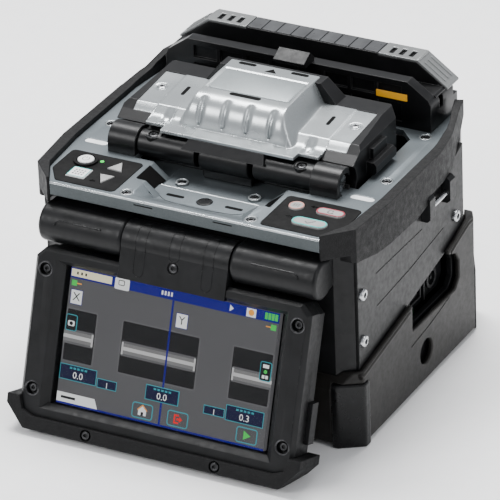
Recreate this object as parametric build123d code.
from build123d import *
import math
import os

os.makedirs("parts", exist_ok=True)

# Fibre fusion splicer, in millimetres. Every piece is drawn in deck coordinates:
# x to the right, y back from the deck's front edge, z up from the deck's top face.
# write() then moves it into the part's frame, whose origin is on the ground at the
# middle of the footprint.

# ---- driving dimensions ------------------------------------------------------
DECK_HEIGHT = 114.0        # ground to deck top
ORIGIN_Y = 55.0            # deck front edge to the origin
GROUND = -DECK_HEIGHT
GAP = 0.1                  # assembly gap between two fixed pieces

BODY_HALF = 81.8           # lower housing
BODY_TOP = -6.6
BODY_BOTTOM = -108.4
WALL = 3.0
BODY_OUTLINE = [(73.0, 10.0), (BODY_HALF, 14.0), (BODY_HALF, 129.0), (74.0, 146.5)]

DECK_THICK = 3.0
DECK_RIM = 6.5
DECK_OUTLINE = [(71.3, 0.0), (79.0, 14.5), (81.5, 45.0), (81.5, 104.0), (79.5, 122.0),
                (74.0, 140.0), (74.0, 146.8)]
CHAMBER_OUTLINE = [(46.6, 38.5), (46.6, 52.6), (65.5, 52.6), (65.5, 108.0), (58.0, 116.0)]

PANEL_X = (81.9, 83.3)     # side plates
BOOT_OUTLINE = [(75.0, 6.5), (86.0, 13.5), (86.0, 134.0), (76.0, 152.37)]
BOOT_INNER = [(73.4, 9.9), (83.4, 14.2), (83.4, 129.6), (74.6, 146.6)]
BOOT_TOP = [(6.0, -84.0), (10.9, -74.0), (64.3, -65.0), (108.6, -55.3), (129.3, -49.2),
            (141.0, -51.0), (149.0, -60.0), (153.0, -75.0)]
BUMPER_OUTER = [(72.5, -0.6), (84.5, 12.0), (87.3, 42.0), (87.0, 98.0), (85.0, 114.0), (78.5, 140.5)]
BUMPER_INNER = [(71.5, 0.0), (79.2, 14.5), (81.7, 45.0), (81.7, 104.0), (79.7, 122.0), (74.4, 139.0)]
BUMPER_BOTTOM = [(-2.0, -10.4), (9.9, -10.4), (10.3, -14.5), (30.0, -18.5), (70.0, -20.0),
                 (112.0, -14.5), (130.0, -6.5), (142.0, 2.0)]
BUMPER_TOP = [(142.0, 9.0), (131.0, 9.0), (118.0, 4.5), (100.0, 2.8), (-2.0, 2.8)]

HINGE_Y, HINGE_Z, HINGE_R = 0.0, -20.5, 9.7      # monitor hinge
HINGE_SPLIT = 28.4                                # half-length of the moving middle barrel
HINGE_END = 73.6
SHAFT_R = 4.0
MONITOR_TILT = 19.2                               # bottom swung out from vertical
MONITOR_LOWEST = -112.6                           # clear of the ground at rest

BEZEL_HALF = 73.2
BEZEL_S = (11.0, 96.5)                            # down the face from the hinge axis
BEZEL_T = (-1.0, 8.8)                             # out of the face
WINDOW_HALF, WINDOW_S = 58.1, (18.5, 86.0)
LCD_HALF, LCD_S = 55.5, (18.9, 85.0)

COVER_Y, COVER_Z = 47.3, 4.4                      # wind cover hinge
COVER_BARREL_R, BRACKET_R, PIN_R = 6.5, 8.2, 2.5
BRACKET_X = (46.7, 61.4)
ROLLER_HALF, ROLLER_R = 13.0, 7.0
ROLLER_BAY = 15.7                                 # half-width of the opening round the roller
COVER_HALF, COVER_BACK = 63.2, 103.0
COVER_BOTTOM = -2.5
SHELL_HALF = 56.9
SHELL_THICK = 1.6
APRON_TOP = [(45.0, 12.8), (54.4, 15.0)]          # silver apron in front of the dome
APRON_FRONT = [(35.6, 11.3), (29.0, 11.3), (19.7, 15.1)]
NOSE_LIP = [(39.9, 8.8), (45.0, 12.7)]            # black lip over the roller
WING_TOP = [(50.0, 9.9), (57.9, 14.6), (62.4, 17.7), (91.3, 19.9)]

FIBRE_Y, FIBRE_Z = 78.0, 2.0                      # line of the two fibres
TUB_FLOOR = -23.5

HEATER_FRONT, HEATER_BACK = 118.0, 147.0
HEATER_AXIS_Y, HEATER_AXIS_Z = 145.6, 12.8
HEATER_KNUCKLE_R, HEATER_PIN_R = 2.6, 1.2
LID_BOTTOM, LID_TOP = 15.8, 28.4

KEY_TOP = 0.25                                    # keypad face above the deck
RUNNING = 0.05                                    # radial clearance of a turning pin
KEY_CLEARANCE = 0.2

DECK_SCREWS = [(33.0, 6.1), (74.0, 65.5), (71.0, 113.5)]
TRAY_SCREWS = [(19.4, 35.5)]
TRAY_FLOOR = -6.4
TRAY_DIP = [(2.0, 1.0), (2.6, 0.0), (9.0, -3.0), (15.8, -5.9), (29.0, -5.9), (29.6, TRAY_FLOOR - 0.6),
            (60.0, TRAY_FLOOR - 0.2), (60.0, 1.0)]   # section of the dip and the tray floor (y, z)
DIP_END, TRAY_END = [(31.0, 0.5), (21.0, -7.0)], [(36.2, 0.5), (27.0, -7.0)]   # sloping ends (x, z)
DIP_PAD = 28.0                                       # half-width of the thicker deck under the dip
PORT_OUTLINE = [(66.0, -79.0), (113.0, -79.5), (117.5, -75.0), (117.5, -66.0), (114.0, -60.5),
                (107.0, -57.2), (66.0, -65.4)]
BATTERY_HALF, BATTERY_Y, BATTERY_Z = 41.0, (94.0, 151.6), (-101.0, -67.0)
LUG_Y, LUG_Z = (85.2, 107.1), (-28.0, -14.6)

# tripod insert and main board
TRIPOD_Y, INSERT_R, TRIPOD_R = 55.0, 6.0, 3.175
BOARD_Z = (-50.0, -48.4)
BOARD_PARTS = [(-30, 50, 14, 2.4), (20, 40, 18, 2.0), (30, 90, 12, 6.0), (-40, 95, 16, 3.0)]

# corner feet
FOOT_TOP = -80.0

# side plate screws (y, z)
SIDE_SCREWS = [(18.7, -35.2), (18.7, -60.0), (119.0, -42.7)]

# strap pins
STRAP_X, STRAP_Z, STRAP_R = 85.9, -22.4, 1.25

# keypads, lamps and status light (x, y)
KEYPAD_OUTLINE = [(38.5, 34.0), (38.5, 3.0), (70.0, 3.0), (77.4, 13.6), (77.4, 34.0)]
LAMP_AT = (71.2, 45.6)
LED_AT = (-58.2, 27.9)

# monitor screws (x, down the face, seat)
MONITOR_SCREWS = [(67.0, 21.5, 5.9), (-67.0, 21.5, 5.9), (67.0, 79.8, 5.9), (-67.0, 79.8, 5.9),
                  (34.5, 96.0, 9.7), (-34.5, 96.0, 9.7)]

# tube heater sections (x, z)
HEATER_OUTLINE = [(72.0, 0.05), (72.0, 14.0), (70.5, 17.0), (59.5, 24.8)]
LID_OUTLINE = [(73.0, LID_BOTTOM), (73.0, 16.8), (57.0, LID_TOP)]
LID_CORE = [(71.6, LID_BOTTOM), (71.6, 16.3), (56.4, 27.1)]
TROUGH_X = 31.0

# sheath clamp hinge
SHEATH_AXIS_Y, SHEATH_AXIS_Z = 84.6, 4.4

# monitor guard section (x, z)
GUARD_OUTER = [(68.5, -99.4), (78.3, -88.5), (78.3, -84.0)]
GUARD_INNER = [(72.0, -84.0), (70.0, -90.5), (64.0, -92.8)]

BOOT_HOLE = (80.0, -97.0, 6.5)                       # y, z, radius
ELECTRODE_CONE = 3.2                                 # length of an electrode's point


# ---- drawing helpers ---------------------------------------------------------
def box(x, y, z):
    """A block between the pairs of limits x, y and z."""
    middle = Pos((x[0] + x[1]) / 2, (y[0] + y[1]) / 2, (z[0] + z[1]) / 2)
    return middle * Box(x[1] - x[0], y[1] - y[0], z[1] - z[0])


def plan(points, z):
    """An outline seen from above, made solid between two heights."""
    face = make_face(Polyline(*[(px, py, z[0]) for px, py in points], close=True))
    return extrude(face, amount=z[1] - z[0], dir=(0, 0, 1))


def side(points, x):
    """An outline of (y, z) points seen from the side, made solid between two x."""
    face = make_face(Polyline(*[(x[0], py, pz) for py, pz in points], close=True))
    return extrude(face, amount=x[1] - x[0], dir=(1, 0, 0))


def front(points, y):
    """An outline of (x, z) points seen from the front, made solid between two y."""
    face = make_face(Polyline(*[(px, y[0], pz) for px, pz in points], close=True))
    return extrude(face, amount=y[1] - y[0], dir=(0, 1, 0))


def both(points):
    """The right half of a symmetric outline, closed round the left half."""
    return points + [(-px, pz) for px, pz in reversed(points)]


def rod(start, end, radius):
    a, b = Vector(*start), Vector(*end)
    return Solid.make_cylinder(radius, (b - a).length, Plane(origin=a, z_dir=b - a))


def rod_x(x, y, z, radius):
    return rod((x[0], y, z), (x[1], y, z), radius)


def rod_z(x, y, z, radius):
    return rod((x, y, z[0]), (x, y, z[1]), radius)


def stadium(x, y, length, width, z):
    """An upright bar with round ends, long in x."""
    run = (length - width) / 2
    bar = box((x - run, x + run), (y - width / 2, y + width / 2), z)
    return bar + rod_z(x - run, y, z, width / 2) + rod_z(x + run, y, z, width / 2)


def mirrored(shape):
    return mirror(shape, about=Plane.YZ)


def pair(shape):
    """A piece and its mirror image as two separate solids."""
    return group([shape, mirrored(shape)])


def group(shapes):
    return Compound([solid for shape in shapes for solid in shape.solids()])


def monitor_place(shape):
    """From the hinge axis at the origin, hanging straight down, to the rest tilt."""
    return Pos(0, HINGE_Y, HINGE_Z) * Rot(-MONITOR_TILT, 0, 0) * shape


def above_ground(shape):
    """Bevel the monitor's lower back edge level with the ground."""
    return shape - box((-90, 90), (-60, 20), (-140, MONITOR_LOWEST))


def panel(x, s, t):
    """A block of the monitor: s down the face from the axis, t out of the face."""
    return box(x, (-t[1], -t[0]), (-s[1], -s[0]))


def write(name, shape):
    shape = Pos(0, -ORIGIN_Y, DECK_HEIGHT) * shape
    export_step(shape, f"parts/{name}.step")


# ---- lower body --------------------------------------------------------------
def lower_housing():
    outer = plan(both(BODY_OUTLINE), (BODY_BOTTOM, BODY_TOP))
    inner_points = [(px - WALL, py) for px, py in BODY_OUTLINE]
    inner_points[0] = (BODY_OUTLINE[0][0] - WALL / 2, BODY_OUTLINE[0][1] + WALL)
    inner_points[-1] = (BODY_OUTLINE[-1][0] - WALL / 2, BODY_OUTLINE[-1][1] - WALL)
    shell = outer - plan(both(inner_points), (BODY_BOTTOM - 1, BODY_TOP + 1))
    bay_z = (BATTERY_Z[0] - 0.5, BATTERY_Z[1] + 0.5)
    shell -= box((-BATTERY_HALF - 0.5, BATTERY_HALF + 0.5), (140, 148), bay_z)
    shell -= side(PORT_OUTLINE, (78, 83))
    shell -= box((-40, 40), (5, 22), (-10, 0))
    return shell


def bottom_plate():
    plate = plan(both(BODY_OUTLINE), (BODY_BOTTOM - 3.1, BODY_BOTTOM - GAP))
    return plate - rod_z(0, TRIPOD_Y, (-115, -100), INSERT_R)


def tripod_insert():
    insert = rod_z(0, TRIPOD_Y, (-112.4, -101.5), INSERT_R)
    return insert - rod_z(0, TRIPOD_Y, (-113, -103.0), TRIPOD_R)


def foot_corner(grow, z):
    """The corner regions of the boot that the feet take, right side only."""
    front_corner = box((72.0 - grow, 92), (2, 18.0 + grow), z)
    rear_corner = box((70.0 - grow, 92), (136.0 - grow, 160), z)
    return [front_corner, rear_corner]


def corner_feet():
    proud = offset(make_face(Polyline(*both(BOOT_OUTLINE), close=True)), amount=0.9, kind=Kind.INTERSECTION)
    block = Pos(0, 0, GROUND) * extrude(proud, amount=FOOT_TOP - GROUND, dir=(0, 0, 1))
    hollow = plan(both(BOOT_INNER), (-111.9, 0))
    feet = []
    for corner in foot_corner(0, (GROUND, FOOT_TOP)):
        foot = (block & corner) - hollow
        feet.append(foot)
        feet.append(mirrored(foot))
    return group(feet)


def base_boot():
    ring = plan(both(BOOT_OUTLINE), (-112.0, -40)) - plan(both(BOOT_INNER), (-113, -39))
    ring &= side(BOOT_TOP + [(156, -75), (156, -113), (2, -113), (2, -84)], (-90, 90))
    for corner in foot_corner(GAP, (GROUND - 1, FOOT_TOP + GAP)):
        ring -= corner
        ring -= mirrored(corner)
    ring -= box((-BATTERY_HALF - 1, BATTERY_HALF + 1), (145, 156), (BATTERY_Z[0] - 1, BATTERY_Z[1] + 1))
    ring -= side(PORT_OUTLINE[:5] + [(106.5, -57.5), (103.0, -40.0), (66.0, -40.0)], (80, 90))
    hole_y, hole_z, hole_r = BOOT_HOLE
    for x in ((80, 90), (-90, -80)):
        ring -= rod_x(x, hole_y, hole_z, hole_r)
    return ring


def side_panel(sign):
    drop = 0.4
    top = [(y, z - drop) for y, z in BUMPER_BOTTOM[3:-1]]
    outline = [(14.5, -16.4)] + top[:-1] + [(128.5, -7.6), (128.5, -60.0), (14.5, -84.0)]
    plate = side(outline, PANEL_X)
    if sign > 0:
        plate -= side(PORT_OUTLINE, (80, 84))
    for y, z in SIDE_SCREWS:
        plate -= rod_x((80, 85), y, z, 1.3)
    return plate if sign > 0 else mirrored(plate)


def side_screws():
    screws = []
    for y, z in SIDE_SCREWS:
        head = rod_x((PANEL_X[1], PANEL_X[1] + 1.7), y, z, 3.1)
        head = chamfer(head.edges().filter_by(GeomType.CIRCLE).sort_by(Axis.X)[-1], 0.7)
        screw = head + rod_x((BODY_HALF + 0.02, PANEL_X[1] + 0.1), y, z, 1.2)
        screw -= rod_x((PANEL_X[1] + 0.8, PANEL_X[1] + 3), y, z, 1.3)
        screws += [screw, mirrored(screw)]
    return group(screws)


def side_bumper(sign):
    outline = BUMPER_OUTER + list(reversed(BUMPER_INNER))
    bumper = plan(outline, (-22, 12))
    bumper &= side(BUMPER_BOTTOM + BUMPER_TOP, (60, 95))
    body = [(px + 0.1, py) for px, py in BODY_OUTLINE]
    bumper -= plan(both(body), (-120, BODY_TOP + GAP))
    bumper -= box((83.0, 95), (LUG_Y[0] - 3.0, LUG_Y[1] + 3.0), (-30, LUG_Z[1] + GAP))
    return bumper if sign > 0 else mirrored(bumper)


def strap_lugs():
    lugs = []
    for y in LUG_Y:
        lug = box((PANEL_X[1] + 0.05, 88.2), (y - 2.8, y + 2.8), LUG_Z)
        lug = chamfer(lug.edges().filter_by(Axis.Y).sort_by(Axis.X)[-2:], 1.6)
        lug -= rod((STRAP_X, y - 2.0, STRAP_Z), (STRAP_X, y + 2.0, STRAP_Z), STRAP_R)
        lug -= rod((STRAP_X, 96, STRAP_Z), (STRAP_X, y, STRAP_Z), STRAP_R)
        lugs += [lug, mirrored(lug)]
    return group(lugs)


def strap_pins():
    return pair(rod((STRAP_X, LUG_Y[0] - 2.0, STRAP_Z), (STRAP_X, LUG_Y[1] + 2.0, STRAP_Z), STRAP_R))


# ---- deck --------------------------------------------------------------------
def keypad_solid(inset, z):
    face = make_face(Polyline(*KEYPAD_OUTLINE, close=True))
    face = offset(face, amount=-inset, kind=Kind.INTERSECTION) if inset else face
    face = fillet(face.vertices(), 2.5)
    return Pos(0, 0, z[0]) * extrude(face, amount=z[1] - z[0], dir=(0, 0, 1))


def tray_outline(grow):
    """The tray's plan: an arc at the front, straight sides and back."""
    half, back, side_y, tip_y = 36.0 + grow, 38.5, 20.0, 11.2 - grow
    arc = ThreePointArc((-half, side_y, 0), (0, tip_y, 0), (half, side_y, 0))
    rest = Polyline((half, side_y, 0), (half, back, 0), (-half, back, 0), (-half, side_y, 0))
    return make_face([arc, rest])


def deck_plate():
    plate = plan(both(DECK_OUTLINE), (-DECK_THICK, 0))
    outline = make_face(Polyline(*both(DECK_OUTLINE), close=True))
    rim = outline - offset(outline, amount=-WALL, kind=Kind.INTERSECTION)
    plate += Pos(0, 0, -DECK_RIM) * extrude(rim, amount=DECK_RIM, dir=(0, 0, 1))
    plate = chamfer(plate.edges().filter_by(Axis.X).group_by(Axis.Z)[-1].sort_by(Axis.Y)[0], 0.7)
    plate -= plan(both(CHAMBER_OUTLINE), (-5, 5))
    plate += box((-DIP_PAD, DIP_PAD), (WALL - 0.1, 15.0), (-DECK_RIM, -DECK_THICK + 0.1))
    plate -= Pos(0, 0, -7) * extrude(tray_outline(0), amount=12, dir=(0, 0, 1))
    plate -= tray_recess()
    keypad = keypad_solid(0, (-8, 5))
    lamp = stadium(*LAMP_AT, 12.4, 4.2, (-5, 5))
    for cut in (keypad, lamp):
        plate -= cut
        plate -= mirrored(cut)
    for x, y in DECK_SCREWS:
        for sx in (-x, x):
            plate -= rod_z(sx, y, (-1.4, 1), 3.2)
            plate -= rod_z(sx, y, (-7, 1), 1.3)
    return plate


def screw(x, y, seat):
    """A socket screw whose head stands on a seat."""
    body = rod_z(x, y, (seat, seat + 1.2), 2.4) + rod_z(x, y, (seat - 3.2, seat + 0.1), 1.25)
    body -= rod_z(x, y, (seat + 0.4, seat + 3), 1.1)
    return body


def deck_screws():
    places = [(x, y, -1.4) for x, y in DECK_SCREWS] + [(x, y, TRAY_FLOOR - 0.6) for x, y in TRAY_SCREWS]
    screws = [screw(sx, y, seat) for x, y, seat in places for sx in (-x, x)]
    return group(screws)


def tray_recess():
    """The hollow that starts at the deck's front strip and runs back as the tray's floor."""
    ends = front(both(DIP_END), (1, 20.0)) + front(both(TRAY_END), (19.8, 60))
    return side(TRAY_DIP, (-40, 40)) & ends


def work_tray():
    tray = Pos(0, 0, -9.5) * extrude(tray_outline(-GAP), amount=9.5, dir=(0, 0, 1))
    tray -= box((-40, 40), (38.4, 40), (-10, 1))
    tray += box((-45.3, 45.3), (38.0, 51.3), (-9.5, TRAY_FLOOR - 0.2))
    tray -= tray_recess()
    tray -= box((-46, 46), (38.0, 60), (TRAY_FLOOR - 0.2, 1))
    for x, y in TRAY_SCREWS:
        for sx in (-x, x):
            tray -= rod_z(sx, y, (TRAY_FLOOR - 0.6, 0), 3.2)
            tray -= rod_z(sx, y, (-12, 0), 1.3)
    tray -= rod_z(0, 21.8, (-6.9, 0), 4.0)
    for sx in (-15.6, 15.6):
        tray -= box((sx - 4.6, sx + 4.6), (21.0, 22.2), (-7.2, 0))
    return tray


def tray_plug():
    plug = rod_z(0, 21.8, (-6.85, -5.5), 3.9)
    return chamfer(plug.edges().filter_by(GeomType.CIRCLE).sort_by(Axis.Z)[-1], 0.5)


def lamp_windows():
    return pair(stadium(*LAMP_AT, 12.2, 4.0, (-2.8, -0.3)))


# Keys: plan outlines drawn as solids between two heights, on the side they sit.
def power_key(grow, z):
    return rod_z(-65.6, 25.4, z, 4.0 + grow)


def menu_key(grow, z):
    return box((-67.5 - grow, -57.7 + grow), (8.6 - grow, 17.9 + grow), z)


def triangle_key(points, grow, z):
    face = make_face(Polyline(*points, close=True))
    face = offset(face, amount=grow, kind=Kind.INTERSECTION) if grow else face
    return Pos(0, 0, z[0]) * extrude(face, amount=z[1] - z[0], dir=(0, 0, 1))


def up_key(grow, z):
    return triangle_key([(-52.4, 22.3), (-48.4, 30.1), (-44.4, 21.8)], grow, z)


def down_key(grow, z):
    return triangle_key([(-52.6, 15.9), (-45.0, 16.3), (-48.2, 8.1)], grow, z)


def heat_key(grow, z):
    return rod_z(47.0, 25.3, z, 3.8 + grow)


def reset_key(grow, z):
    return stadium(64.8, 25.3, 14.6 + 2 * grow, 6.2 + 2 * grow, z)


def set_key(grow, z):
    return stadium(60.3, 12.4, 18.0 + 2 * grow, 7.2 + 2 * grow, z)


KEYS = {
    "power_button": (power_key, 1.7),
    "menu_button": (menu_key, 0.9),
    "up_button": (up_key, 1.0),
    "down_button": (down_key, 1.0),
    "heat_button": (heat_key, 1.0),
    "reset_button": (reset_key, 1.1),
    "set_button": (set_key, 1.2),
}


def keypad(sign):
    plate = keypad_solid(GAP, (-DECK_THICK, KEY_TOP))
    if sign < 0:
        plate = mirrored(plate)
        plate += rod_z(-65.6, 25.4, (0, 1.3), 6.0) - rod_z(-65.6, 25.4, (-1, 2), 4.5)
        plate -= rod_z(*LED_AT, (-5, 2), 1.0)
    for shape, _ in KEYS.values():
        hole = shape(KEY_CLEARANCE, (-6, 3))
        if hole.center().X * sign > 0:
            plate -= hole
    return plate


def key(name):
    shape, top = KEYS[name]
    body = shape(0, (-DECK_THICK - 1.0, top))
    upper = body.edges().group_by(Axis.Z)[-1]
    return fillet(upper, 0.5)


def status_led():
    return rod_z(*LED_AT, (-DECK_THICK, KEY_TOP + 0.2), 0.95)


# ---- monitor hinge and monitor -----------------------------------------------
def hinge_barrels():
    barrels = []
    for sx in (-1, 1):
        near, far = HINGE_SPLIT + 0.25, HINGE_END
        x = (near, far) if sx > 0 else (-far, -near)
        barrel = rod_x(x, HINGE_Y, HINGE_Z, HINGE_R)
        barrel += box(x, (0, 9.9), (HINGE_Z - 8.0, HINGE_Z + 9.0))
        inner = (near - 1, near + 24) if sx > 0 else (-near - 24, -near + 1)
        barrels.append(barrel - rod_x(inner, HINGE_Y, HINGE_Z, SHAFT_R + RUNNING))
    return group(barrels)


def hinge_shaft():
    return rod_x((-50.0, 50.0), HINGE_Y, HINGE_Z, SHAFT_R)


def monitor_neck():
    neck = rod_x((-HINGE_SPLIT, HINGE_SPLIT), 0, 0, HINGE_R)
    neck += panel((-HINGE_SPLIT, HINGE_SPLIT), (0, 18.0), (-3.0, 9.2))
    neck -= rod_x((-30, 30), 0, 0, SHAFT_R)
    neck -= rod((0, 0, -8.0), (0, -12, -8.0), 1.3)
    neck -= rod((0, -8.4, -8.0), (0, -12, -8.0), 3.0)
    return monitor_place(neck)


def bezel_outline(grow):
    half = BEZEL_HALF + grow
    low, high = -BEZEL_S[1] - grow, -BEZEL_S[0] + grow
    return both([(half - 6, low), (half, low + 6), (half, high - 5), (half - 5, high)])


def monitor_bezel():
    frame = front(bezel_outline(0), (-BEZEL_T[1], -BEZEL_T[0]))
    face_edges = frame.edges().group_by(Axis.Y)[0]
    frame = chamfer(face_edges, 1.8)
    window = panel((-WINDOW_HALF, WINDOW_HALF), WINDOW_S, (-5, 12))
    width, height, middle = 2 * WINDOW_HALF, WINDOW_S[1] - WINDOW_S[0], -sum(WINDOW_S) / 2
    flare = loft([
        Pos(0, -4.9, middle) * Rot(90, 0, 0) * Rectangle(width, height),
        Pos(0, -9.6, middle) * Rot(90, 0, 0) * Rectangle(width + 9, height + 6),
    ])
    frame -= window
    frame -= flare
    frame -= panel((-HINGE_SPLIT - 0.1, HINGE_SPLIT + 0.1), (0, 18.1), (-5, 12))
    frame -= guard_solid(0.1)
    for x, s, seat in MONITOR_SCREWS[:4]:
        frame -= rod((x, -5.9, -s), (x, -20, -s), 3.0)
        frame -= rod((x, -1, -s), (x, -20, -s), 1.3)
    return monitor_place(frame)


def monitor_back_cover():
    shell = front(bezel_outline(-0.7), (1.1, 9.5))
    shell = chamfer(shell.edges().group_by(Axis.Y)[-1], 2.0)
    shell -= panel((-66, 66), (17, 88), (-7.5, 0))
    shell -= panel((-HINGE_SPLIT - 0.1, HINGE_SPLIT + 0.1), (0, 18.1), (-4, 12))
    for x in ((72.4, 75.4), (-75.4, -72.4)):
        shell += panel(x, (58.7, 78.6), (-7.0, -1.1))
    shell -= guard_solid(0.1)
    return above_ground(monitor_place(shell))


def guard_solid(grow):
    """The rubber guard round the monitor's lower edge, hanging straight down."""
    outer = [(px + grow, pz) for px, pz in GUARD_OUTER[:2]]
    tip = [(GUARD_OUTER[2][0] + grow, GUARD_OUTER[2][1] + grow)]
    inner = [(px - grow, pz + grow) for px, pz in GUARD_INNER]
    return front(both(outer + tip + inner), (-11.2 - grow, 9.6 + grow))


def monitor_guard():
    guard = guard_solid(0)
    for x, s, _ in MONITOR_SCREWS[4:]:
        guard -= rod((x, -9.7, -s), (x, -20, -s), 2.9)
        guard -= rod((x, -1, -s), (x, -20, -s), 1.3)
    return above_ground(monitor_place(guard))


def monitor_screws():
    screws = []
    for x, s, seat in MONITOR_SCREWS + [(0.0, 8.0, 8.4)]:
        one = rod((x, -seat, -s), (x, -seat - 1.3, -s), 2.3) + rod((x, -seat + 3, -s), (x, -seat, -s), 1.2)
        screws.append(one - rod((x, -seat - 0.5, -s), (x, -seat - 3, -s), 1.1))
    return monitor_place(group(screws))


def lcd_panel():
    return monitor_place(panel((-LCD_HALF, LCD_HALF), LCD_S, (1.0, 4.4)))


def touch_glass():
    half = WINDOW_HALF - GAP
    return monitor_place(panel((-half, half), (WINDOW_S[0] + GAP, WINDOW_S[1] - GAP), (4.5, 5.1)))


# ---- wind cover --------------------------------------------------------------
def cover_hinge_brackets():
    bracket = rod_x(BRACKET_X, COVER_Y, COVER_Z, BRACKET_R)
    bracket += box(BRACKET_X, (COVER_Y - BRACKET_R, 52.0), (0.05, COVER_Z))
    bracket -= box((40, 70), (52.0, 60), (-5, 20))
    bracket -= box((40, 70), (30, 60), (-5, 0.05))
    bracket -= rod_x((40, 70), COVER_Y, COVER_Z, PIN_R + 0.02)
    bracket -= rod_x((58.4, 70), COVER_Y, COVER_Z, 5.3)
    return pair(bracket)


def cover_hinge_pins():
    pin = rod_x((40.0, 57.9), COVER_Y, COVER_Z, PIN_R) + rod_x((58.4, 59.6), COVER_Y, COVER_Z, 4.2)
    pin += rod_x((57.5, 58.6), COVER_Y, COVER_Z, PIN_R)
    return pair(pin)


def cover_roller():
    roller = rod_x((-ROLLER_HALF, ROLLER_HALF), COVER_Y, COVER_Z, ROLLER_R)
    roller += box((-ROLLER_HALF, ROLLER_HALF), (44.6, 51.2), (TRAY_FLOOR - 0.1, COVER_Z))
    return roller


def wing_prism(drop, x, y_back):
    """Everything under the wings' top line lowered by drop, back to y_back."""
    points = [(y, z - drop) for y, z in WING_TOP[:-1]]
    rise = (WING_TOP[-1][1] - WING_TOP[-2][1]) / (WING_TOP[-1][0] - WING_TOP[-2][0])
    back_z = points[-1][1] + rise * (y_back - points[-1][0])
    return side(points + [(y_back, back_z), (y_back, -30), (points[0][0], -30)], x)


def dome(inset):
    """The raised middle of the shell, wide at its foot and narrower at its top."""
    foot = Rectangle(2 * (31.0 - inset), 46.0 - 2 * inset)
    top = Rectangle(2 * (23.5 - inset), 33.0 - 2 * inset)
    return loft([Pos(0, 75.5, 14.0 - inset) * foot, Pos(0, 81.0, 30.3 - inset) * top])


def apron(drop):
    """Everything under the apron in front of the dome, lowered by drop."""
    (y0, z0), (y1, z1) = APRON_TOP
    length = side([(y0 + drop, z0 - drop), (y1, z1 - drop), (60, z1 - drop), (60, -30), (y0 + drop, -30)],
                  (-80, 80))
    edge = [(px - drop, pz - drop) for px, pz in APRON_FRONT]
    return length & front(both([(edge[0][0], -30)] + edge), (40, 60))


def shell_envelope(grow):
    """Everything under the shell's outer face, grown on all sides."""
    wings = wing_prism(-grow, (-SHELL_HALF - grow, SHELL_HALF + grow), 91.3 + grow)
    for x in ((46.2 + grow, 80), (-80, -46.2 - grow)):
        wings -= box(x, (40, 57.9 - grow), (-40, 40))
    return wings + dome(-grow) + apron(-grow)


def lowered_apron(drop):
    """The space under the apron's sheet, open at its front and sides."""
    (y0, z0), (y1, z1) = APRON_TOP
    top = [(y0 - 1, z0 - drop), (y1, z1 - drop), (61, z1 - drop)]
    length = side(top + [(61, -31), (y0 - 1, -31)], (-80, 80))
    edge = [(px, pz - drop) for px, pz in APRON_FRONT]
    edge[0] = (edge[0][0] + 1, edge[0][1])
    return length & front(both([(edge[0][0], -31)] + edge), (39, 61))


def cover_shell():
    shell = shell_envelope(0) - wing_prism(SHELL_THICK, (-80, 80), 98.2) - dome(SHELL_THICK)
    shell -= lowered_apron(SHELL_THICK)
    for sx in (-39.0, 39.0):
        shell -= box((sx - 0.7, sx + 0.7), (73.9, 81.5), (10, 25))
    for sx in (-52.1, 52.1):
        shell -= rod_z(sx, 77.8, (10, 25), 1.3)
    return shell


def cover_frame():
    inner = COVER_HALF - 3.0
    frame = box((-COVER_HALF, COVER_HALF), (50.0, COVER_BACK), (COVER_BOTTOM, 19.9))
    frame = chamfer(frame.edges().filter_by(Axis.Z).group_by(Axis.Y)[-1], 5.0)
    frame = chamfer(frame.edges().filter_by(Axis.Y).group_by(Axis.Z)[-1], 4.0)
    hump = loft([Pos(0, 95.5, 19.0) * Rectangle(72, 12), Pos(0, 94.8, 29.8) * Rectangle(54, 9)])
    frame += hump
    frame -= wing_above()
    for x in ((15.8, 46.2), (-46.2, -15.8)):
        frame += rod_x(x, COVER_Y, COVER_Z, COVER_BARREL_R)
        frame += box(x, (47.5, 53.5), (COVER_BOTTOM + 1.2, 8.2))
    frame -= box((-inner, inner), (59.0, 99.5), (-10, 15.0))
    frame -= box((-54.0, 54.0), (59.0, 89.6), (-10, 40))
    frame -= box((-26, 26), (53.5, 60.0), (-10, 11.0))
    frame -= dome(-GAP) & box((-40, 40), (59.0, 110), (-10, 40))
    frame -= rod_x((-ROLLER_BAY, ROLLER_BAY), COVER_Y, COVER_Z, ROLLER_R + 0.3)
    frame -= box((-ROLLER_BAY, ROLLER_BAY), (COVER_Y, 52.9), (-10, COVER_Z))
    lip = side(NOSE_LIP + [(57.0, 12.7), (57.0, 8.8)], (-24, 24))
    lip &= front(both([(22.5, 8), (19.7, 12.8)]), (30, 60))
    frame += lip - rod_x((-ROLLER_BAY, ROLLER_BAY), COVER_Y, COVER_Z, ROLLER_R + 0.3)
    sheet = shell_envelope(GAP) - wing_prism(SHELL_THICK + GAP, (-80, 80), 91.5)
    frame -= sheet - lowered_apron(SHELL_THICK + GAP)
    for x in ((46.3, 70), (-70, -46.3)):
        frame -= rod_x(x, COVER_Y, COVER_Z, BRACKET_R + 0.5)
        frame -= box(x, (40, 53.0), (-10, COVER_Z + 4))
    for x in ((39.5, 47), (-47, -39.5)):
        frame -= rod_x(x, COVER_Y, COVER_Z, PIN_R + RUNNING)
    for sx in (-39.6, 39.6):
        frame += rod_z(sx, 45.8, (COVER_Z + 3.2, 10.2), 3.8)
        frame -= rod_z(sx, 45.8, (9.4, 13), 2.6)
        frame -= rod_z(sx, 45.8, (7.6, 13), 1.3)
    frame += lift_tab() + mirrored(lift_tab())
    return frame


def wing_above():
    """The space over the wings' top line, cut from the frame's block."""
    return side([(40, 4.2)] + WING_TOP + [(WING_TOP[-1][0], 40), (40, 40)], (-80, 80))


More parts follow.
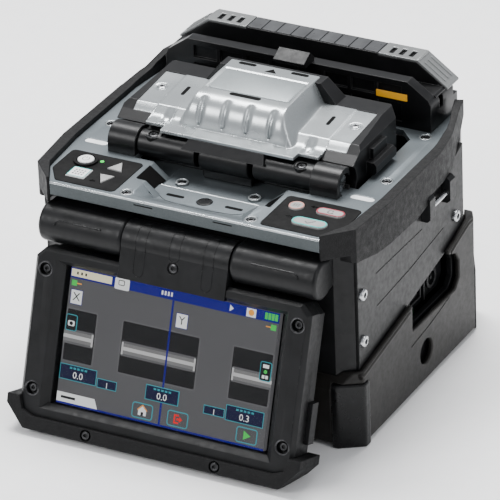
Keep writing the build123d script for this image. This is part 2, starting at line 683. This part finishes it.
def lift_tab():
    tab = box((COVER_HALF - 0.2, 68.6), (66.0, 87.0), (1.2, 7.6))
    tab = chamfer(tab.edges().filter_by(Axis.Y).group_by(Axis.X)[-1], 1.5)
    tab += box((COVER_HALF - 0.2, 65.2), (70.0, 84.0), (7.0, 13.0))
    return tab


def cover_screws():
    screws = []
    for x, y, seat in ((52.1, 77.8, 19.06), (39.6, 45.8, 9.4)):
        for sx in (-x, x):
            one = rod_z(sx, y, (seat, seat + 1.0), 2.3) + rod_z(sx, y, (seat - 1.6, seat + 0.1), 1.2)
            screws.append(one - rod_z(sx, y, (seat + 0.4, seat + 3), 1.0))
    return group(screws)


def cover_anvils():
    arm = box((5.0, 12.0), (75.8, 80.2), (FIBRE_Z + 1.4, 28.3))
    arm += box((5.6, 11.4), (76.8, 79.2), (FIBRE_Z + 0.5, FIBRE_Z + 1.6))
    return pair(arm)


# ---- splice chamber ----------------------------------------------------------
def chamber_base():
    tub = box((-67.5, 67.5), (51.5, 118.0), (TUB_FLOOR - 2.5, -DECK_THICK - GAP))
    tub -= box((-64.8, 64.8), (54.2, 115.3), (TUB_FLOOR, 0))
    for x in ((24.5, 50.0), (-50.0, -24.5)):
        tub += box(x, (70.0, 86.0), (TUB_FLOOR - 0.1, -14.2))
    return tub


def vgroove_block():
    block = box((-13.0, 13.0), (FIBRE_Y - 3, FIBRE_Y + 3), (TUB_FLOOR + 0.02, FIBRE_Z + 0.1))
    block -= box((-1.4, 1.4), (60, 96), (FIBRE_Z - 6, 5))
    groove = [(FIBRE_Y - 0.8, FIBRE_Z + 0.2), (FIBRE_Y + 0.8, FIBRE_Z + 0.2), (FIBRE_Y, FIBRE_Z - 0.7)]
    return block - side(groove, (-20, 20))


def electrodes():
    rods = []
    for sy in (-1, 1):
        shoulder, tail = FIBRE_Y + sy * (1.3 + ELECTRODE_CONE), FIBRE_Y + sy * 21.0
        base = Plane(origin=(0, shoulder, FIBRE_Z + 0.3), z_dir=(0, -sy, 0))
        cone = Solid.make_cone(1.0, 0.15, ELECTRODE_CONE, base)
        rods.append(rod((0, tail, FIBRE_Z + 0.3), (0, shoulder, FIBRE_Z + 0.3), 1.0) + cone)
    return group(rods)


def electrode_clamps():
    clamps = []
    for y in ((59.0, 67.0), (89.0, 97.0)):
        clamp = box((-9.0, 9.0), y, (-1.5, 5.0))
        for x in ((6.0, 9.0), (-9.0, -6.0)):
            clamp += box(x, y, (TUB_FLOOR + 0.02, -1.4))
        clamp -= rod((0, y[0] - 1, FIBRE_Z + 0.3), (0, y[1] + 1, FIBRE_Z + 0.3), 1.0)
        clamps.append(clamp)
    return group(clamps)


def objective_lenses():
    lenses = []
    for sy in (-1, 1):
        direction = (0, sy * math.sin(math.radians(45)), -math.cos(math.radians(45)))
        near, far = 9.5, 23.0
        start = (0, FIBRE_Y + direction[1] * near, FIBRE_Z + direction[2] * near)
        end = (0, FIBRE_Y + direction[1] * far, FIBRE_Z + direction[2] * far)
        lenses.append(rod(start, end, 3.8))
    return group(lenses)


def sheath_stage(sign):
    stage = box((26.0, 46.0), (71.0, 83.0), (-14.0, 2.5))
    stage += box((26.0, 46.0), (83.0, 86.4), (-14.0, 0.5))
    stage -= box((20, 50), (FIBRE_Y - 1.6, FIBRE_Y + 1.6), (0.8, 5))
    for x in ((26.0, 29.7), (42.3, 46.0)):
        stage += rod_x(x, SHEATH_AXIS_Y, SHEATH_AXIS_Z, 1.6) + box(x, (83.1, 86.1), (0.4, SHEATH_AXIS_Z))
        stage -= rod_x((x[0] - 1, x[1] + 1), SHEATH_AXIS_Y, SHEATH_AXIS_Z, 0.8)
    return stage if sign > 0 else mirrored(stage)


def sheath_lid(sign):
    lid = box((30.0, 42.0), (73.0, 83.2), (2.7, 5.6))
    lid += rod_x((30.0, 42.0), SHEATH_AXIS_Y, SHEATH_AXIS_Z, 1.5)
    lid += box((30.0, 42.0), (83.0, 84.6), (3.6, 5.6))
    lid += rod_x((26.6, 45.4), SHEATH_AXIS_Y, SHEATH_AXIS_Z, 0.75)
    return lid if sign > 0 else mirrored(lid)


# ---- tube heater -------------------------------------------------------------
def heater_housing():
    block = front(both(HEATER_OUTLINE), (HEATER_FRONT, HEATER_BACK))
    block -= box((-80, 80), (124.2, 150), (15.6, 40))
    block -= box((-62, 62), (124.4, 134.4), (4.0, 20))
    block -= box((-80, 80), (127.4, 131.4), (9.0, 20))
    block -= box((-80, 80), (142.6, 150), (9.6, 20))
    for x in heater_windows():
        block -= box((x - 6.3, x + 6.3), (110, 119.6), (15.2, 21.8))
        block -= box((x - 6.3, x + 6.3), (110, 118.7), (3.0, 12.6))
    for x in ((34.4, 42.0), (14.0, 21.6), (-42.0, -34.4), (-21.6, -14.0)):
        block += rod_x(x, HEATER_AXIS_Y, HEATER_AXIS_Z, HEATER_KNUCKLE_R)
        block += box(x, (143.0, 147.0), (9.4, HEATER_AXIS_Z - 1.0))
    block -= rod_x((-60, 60), HEATER_AXIS_Y, HEATER_AXIS_Z, HEATER_PIN_R + 0.02)
    block += side([(110.0, 27.4), (117.0, 30.8), (121.0, 27.0), (121.0, 24.6), (112.0, 24.6)], (-8.4, 8.4))
    return block


def heater_windows():
    return [-50.0 + 14.2857 * i for i in range(8)]


def heater_hinge_pin():
    return group([rod_x((13.0, 43.0), HEATER_AXIS_Y, HEATER_AXIS_Z, HEATER_PIN_R),
                  rod_x((-43.0, -13.0), HEATER_AXIS_Y, HEATER_AXIS_Z, HEATER_PIN_R)])


def heater_trough():
    trough = box((-TROUGH_X, TROUGH_X), (125.6, 133.2), (4.05, 13.0))
    return trough - box((-40, 40), (127.0, 131.8), (6.0, 20))


def heater_lid():
    lid = front(both(LID_CORE), (134.6, HEATER_BACK))
    lid += box((-35.8, 35.8), (134.6, HEATER_BACK), (20, LID_TOP - 0.4))
    lid -= box((-54, 54), (136.6, 145.0), (LID_BOTTOM - 1, 25.4))
    lid += front(both([(71.6, LID_BOTTOM), (71.6, 16.3), (70.4, 17.1)]), (124.5, 134.7))
    for x in ((22.0, 34.0), (-34.0, -22.0)):
        lid += rod_x(x, HEATER_AXIS_Y, HEATER_AXIS_Z, HEATER_KNUCKLE_R)
        lid += box(x, (144.0, 147.0), (HEATER_AXIS_Z, LID_BOTTOM + 1.0))
        lid -= rod_x((x[0] - 0.1, x[1] + 0.1), HEATER_AXIS_Y, HEATER_AXIS_Z, HEATER_PIN_R + RUNNING)
    return lid


def heater_lid_trim():
    trim = front(both(LID_OUTLINE), (134.6, HEATER_BACK))
    core = [(px + 0.05, pz + (0.05 if pz > LID_BOTTOM else -1)) for px, pz in LID_CORE]
    trim -= front(both(core), (130, 150))
    trim -= box((-36.0, 36.0), (130, 150), (10, 40))
    for x in (41.5, 46.7, 52.0):
        for sx in (-x, x):
            trim -= box((sx - 1.3, sx + 1.3), (137.0, 143.4), (20, 40))
    return trim


# ---- inside and underneath -----------------------------------------------------
def main_board():
    board = box((-74, 74), (16, 140), BOARD_Z)
    for x, y, size, height in BOARD_PARTS:
        half = size / 2
        board += box((x - half, x + half), (y - half, y + half), (BOARD_Z[1] - 0.1, BOARD_Z[1] + height))
    for x in (-62, 62):
        for y in (24, 110):
            board += rod_z(x, y, (BODY_BOTTOM, BOARD_Z[0] + 0.1), 3.0)
    return board


def battery_pack():
    half = BATTERY_HALF - 0.4
    pack = box((-half, half), BATTERY_Y, (BATTERY_Z[0] + 0.4, BATTERY_Z[1] - 0.4))
    pack = chamfer(pack.edges().group_by(Axis.Y)[-1], 1.2)
    for x in (-12, 12):
        pack -= box((x - 9, x + 9), (149.8, 153), (-87, -81))
    return pack


def io_ports():
    plate = side(PORT_OUTLINE, (72.0, 76.0))
    socket = box((75.9, 78.0), (78.0, 91.0), (-74.6, -68.2)) - box((76.4, 80), (79.0, 90.0), (-73.8, -69.0))
    jack = rod_x((75.9, 78.0), 103.0, -70.0, 5.2) - rod_x((76.2, 80), 103.0, -70.0, 3.6)
    jack += rod_x((75.9, 77.6), 103.0, -70.0, 1.0)
    plate += box((75.9, 77.8), (74.2, 75.4), (-78.5, -64.0))
    plate += box((75.9, 77.8), (94.6, 95.8), (-78.5, -64.0))
    return plate + socket + jack


# ---- write every piece ---------------------------------------------------------
PIECES = {
    "lower_housing": lower_housing,
    "bottom_plate": bottom_plate,
    "tripod_insert": tripod_insert,
    "base_boot": base_boot,
    "corner_feet": corner_feet,
    "side_panel_left": lambda: side_panel(-1),
    "side_panel_right": lambda: side_panel(1),
    "side_screws": side_screws,
    "side_bumper_left": lambda: side_bumper(-1),
    "side_bumper_right": lambda: side_bumper(1),
    "strap_lugs": strap_lugs,
    "strap_pins": strap_pins,
    "deck_plate": deck_plate,
    "deck_screws": deck_screws,
    "work_tray": work_tray,
    "tray_plug": tray_plug,
    "lamp_windows": lamp_windows,
    "keypad_left": lambda: keypad(-1),
    "keypad_right": lambda: keypad(1),
    "status_led": status_led,
    "hinge_barrels": hinge_barrels,
    "hinge_shaft": hinge_shaft,
    "monitor_neck": monitor_neck,
    "monitor_bezel": monitor_bezel,
    "monitor_back_cover": monitor_back_cover,
    "monitor_guard": monitor_guard,
    "monitor_screws": monitor_screws,
    "lcd_panel": lcd_panel,
    "touch_glass": touch_glass,
    "cover_hinge_brackets": cover_hinge_brackets,
    "cover_hinge_pins": cover_hinge_pins,
    "cover_roller": cover_roller,
    "cover_shell": cover_shell,
    "cover_frame": cover_frame,
    "cover_screws": cover_screws,
    "cover_anvils": cover_anvils,
    "chamber_base": chamber_base,
    "vgroove_block": vgroove_block,
    "electrodes": electrodes,
    "electrode_clamps": electrode_clamps,
    "objective_lenses": objective_lenses,
    "sheath_stage_left": lambda: sheath_stage(-1),
    "sheath_stage_right": lambda: sheath_stage(1),
    "sheath_lid_left": lambda: sheath_lid(-1),
    "sheath_lid_right": lambda: sheath_lid(1),
    "heater_housing": heater_housing,
    "heater_hinge_pin": heater_hinge_pin,
    "heater_trough": heater_trough,
    "heater_lid": heater_lid,
    "heater_lid_trim": heater_lid_trim,
    "main_board": main_board,
    "battery_pack": battery_pack,
    "io_ports": io_ports,
}

for name, make in PIECES.items():
    write(name, make())
for name in KEYS:
    write(name, key(name))
